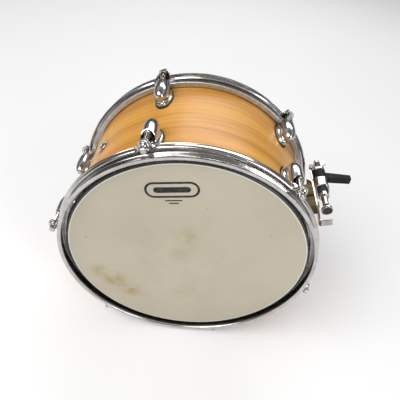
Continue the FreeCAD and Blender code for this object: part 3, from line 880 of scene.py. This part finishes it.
def buildClampBolt(look, steps=48):
    head, shank, end = look["head"], look["shank"], look["end"]
    start = look["headStart"]
    back = start + look["headThick"]
    outline = [(0.02, start + look["dish"])]
    outline += softPath([
        (head - 2.0, start + look["dish"], 0.5), (head - 1.1, start, 0.4), (head, start, 0.6),
        (head, back - 2.0, 0.9), (shank + 1.2, back, 1.2), (shank, back + 5.0, 0.8),
    ], steps=4)[1:-1]
    outline += [(shank, end - 1.0), (shank - 1.0, end), (0.02, end)]
    angles = [2 * math.pi * k / steps for k in range(steps)]
    rings = []
    for u, v in outline:
        rings.append([(u * math.cos(a), yAt(v), look["axis"] + u * math.sin(a)) for a in angles])

    # painted shade: the dish in the bolt's head takes the dark lining finish, which stands for the
    # shade in the recess
    def inDish(point):
        apart = math.hypot(point.x, point.z - look["axis"])
        return point.y < yAt(start + 3) and apart < head - 1.4

    addPiece("clampBolt", loft(rings), bracketChrome, bracketStation,
             standsFor=("clamp_bolt",), lining=(recessShade, inDish))


buildClamp(clampLook, boltLook)
buildClampBolt(boltLook)
print("clamp built")


# pieces that keep their own shape and take a finish

keptFinishes = {
    "vent_eyelet": lugChrome, "batter_flesh_hoop": hoopAluminium, "resonant_flesh_hoop": hoopAluminium,
    "lug_gaskets": sealRubber, "swivel_nuts": nutSteel, "batter_rod_washers": rodChrome,
    "resonant_rod_washers": rodChrome, "lug_screws": fastenerSteel, "lug_screw_washers": fastenerSteel,
    "isolator_front": blockRubber, "isolator_rear": blockRubber,
    "bracket_bolts": fastenerSteel, "bracket_nuts": fastenerSteel, "clamp_collar": bracketChrome,
    "clamp_bushing": sealRubber, "clamp_washer": bracketChrome, "wing_nut": bracketChrome,
    "lever": leverPlastic,
}
for nodeName, finish in keptFinishes.items():
    kept = frame["nodes"][nodeName]
    if not kept.hide_render:
        kept.data.materials.clear()
        kept.data.materials.append(finish)
print("finishes on kept nodes:", len(keptFinishes))


# floor, light and camera

floorLook = {"half": 25.0, "colour": (0.86, 0.86, 0.86), "shade": (0.82, 0.82, 0.825), "rough": 0.85}


def buildFloor(look):
    finish, tree, shader = newFinish("paleFloor")
    cloud = noise(tree, objectPlace(tree), 3, 4, 0.6)
    tree.links.new(mixed(tree, cloud, look["colour"], look["shade"]), shader.inputs["Base Color"])
    shader.inputs["Roughness"].default_value = look["rough"]
    half = look["half"]
    corners = [(-half, -half, 0), (half, -half, 0), (half, half, 0), (-half, half, 0)]
    mesh = bpy.data.meshes.new("floor")
    mesh.from_pydata(corners, [], [(0, 1, 2, 3)])
    mesh.materials.append(finish)
    floor = bpy.data.objects.new("floor", mesh)
    bpy.context.scene.collection.objects.link(floor)


lights = {  # place, the spot it points at, size, power
    "keyLight": ((-1.1, -0.9, 1.9), (0, 0, 0.12), (1.9, 1.6), 46),
    "fillLight": ((1.4, -1.5, 1.0), (0, 0, 0.12), (0.6, 1.5), 18),
    "backLight": ((0.3, 1.8, 1.6), (0, 0, 0.15), (1.8, 0.5), 18),
}


def addLight(name, place, target, size, power):
    lamp = bpy.data.lights.new(name, "AREA")
    lamp.shape = "RECTANGLE"
    lamp.size, lamp.size_y = size
    lamp.energy = power
    light = bpy.data.objects.new(name, lamp)
    light.location = place
    light.rotation_mode = "QUATERNION"
    light.rotation_quaternion = (Vector(target) - Vector(place)).to_track_quat("-Z", "Y")
    bpy.context.scene.collection.objects.link(light)


worldLook = {
    "strength": 0.6,
    "sky": [  # from the horizon up
        (0.0, (0.52, 0.52, 0.53)), (0.09, (0.34, 0.34, 0.345)), (0.24, (0.09, 0.09, 0.095)),
        (0.42, (0.52, 0.52, 0.53)), (0.7, (0.92, 0.92, 0.92)), (0.92, (0.35, 0.35, 0.36)),
    ],
}


def buildWorld(look):
    world = bpy.data.worlds.new("studio")
    world.use_nodes = True
    tree = world.node_tree
    direction = addNode(tree, "TexCoord", {}).outputs["Generated"]
    height = addNode(tree, "SeparateXYZ", {0: direction}).outputs[2]
    background = tree.nodes["Background"]
    tree.links.new(tones(tree, height, look["sky"]), background.inputs["Color"])
    background.inputs["Strength"].default_value = look["strength"]
    bpy.context.scene.world = world


cameraLook = {  # angles in degrees
    "place": (-0.02854, -0.38921, 0.53588), "heading": 3.358, "down": 49.086, "roll": 9.729,
    "lens": 34.215, "shift": (0.0109, 0.1315),
}


def buildCamera(look):
    heading, down, roll = (math.radians(look[key]) for key in ("heading", "down", "roll"))
    flat = math.cos(down)
    forward = Vector((math.sin(heading) * flat, math.cos(heading) * flat, -math.sin(down)))
    level = forward.cross(Vector((0, 0, 1))).normalized()
    upright = level.cross(forward)
    right = level * math.cos(roll) + upright * math.sin(roll)
    up = upright * math.cos(roll) - level * math.sin(roll)
    data = bpy.data.cameras.new("camera")
    data.lens = look["lens"]
    data.shift_x, data.shift_y = look["shift"]
    data.clip_start, data.clip_end = 0.01, 50
    camera = bpy.data.objects.new("camera", data)
    axes = Matrix((right, up, -forward)).transposed()
    camera.matrix_world = Matrix.Translation(look["place"]) @ axes.to_4x4()
    bpy.context.scene.collection.objects.link(camera)
    bpy.context.scene.camera = camera


buildFloor(floorLook)
buildWorld(worldLook)
for lightName, settings in lights.items():
    addLight(lightName, *settings)
buildCamera(cameraLook)
bpy.context.scene.view_settings.view_transform = "Standard"
print("stage, light and camera set")
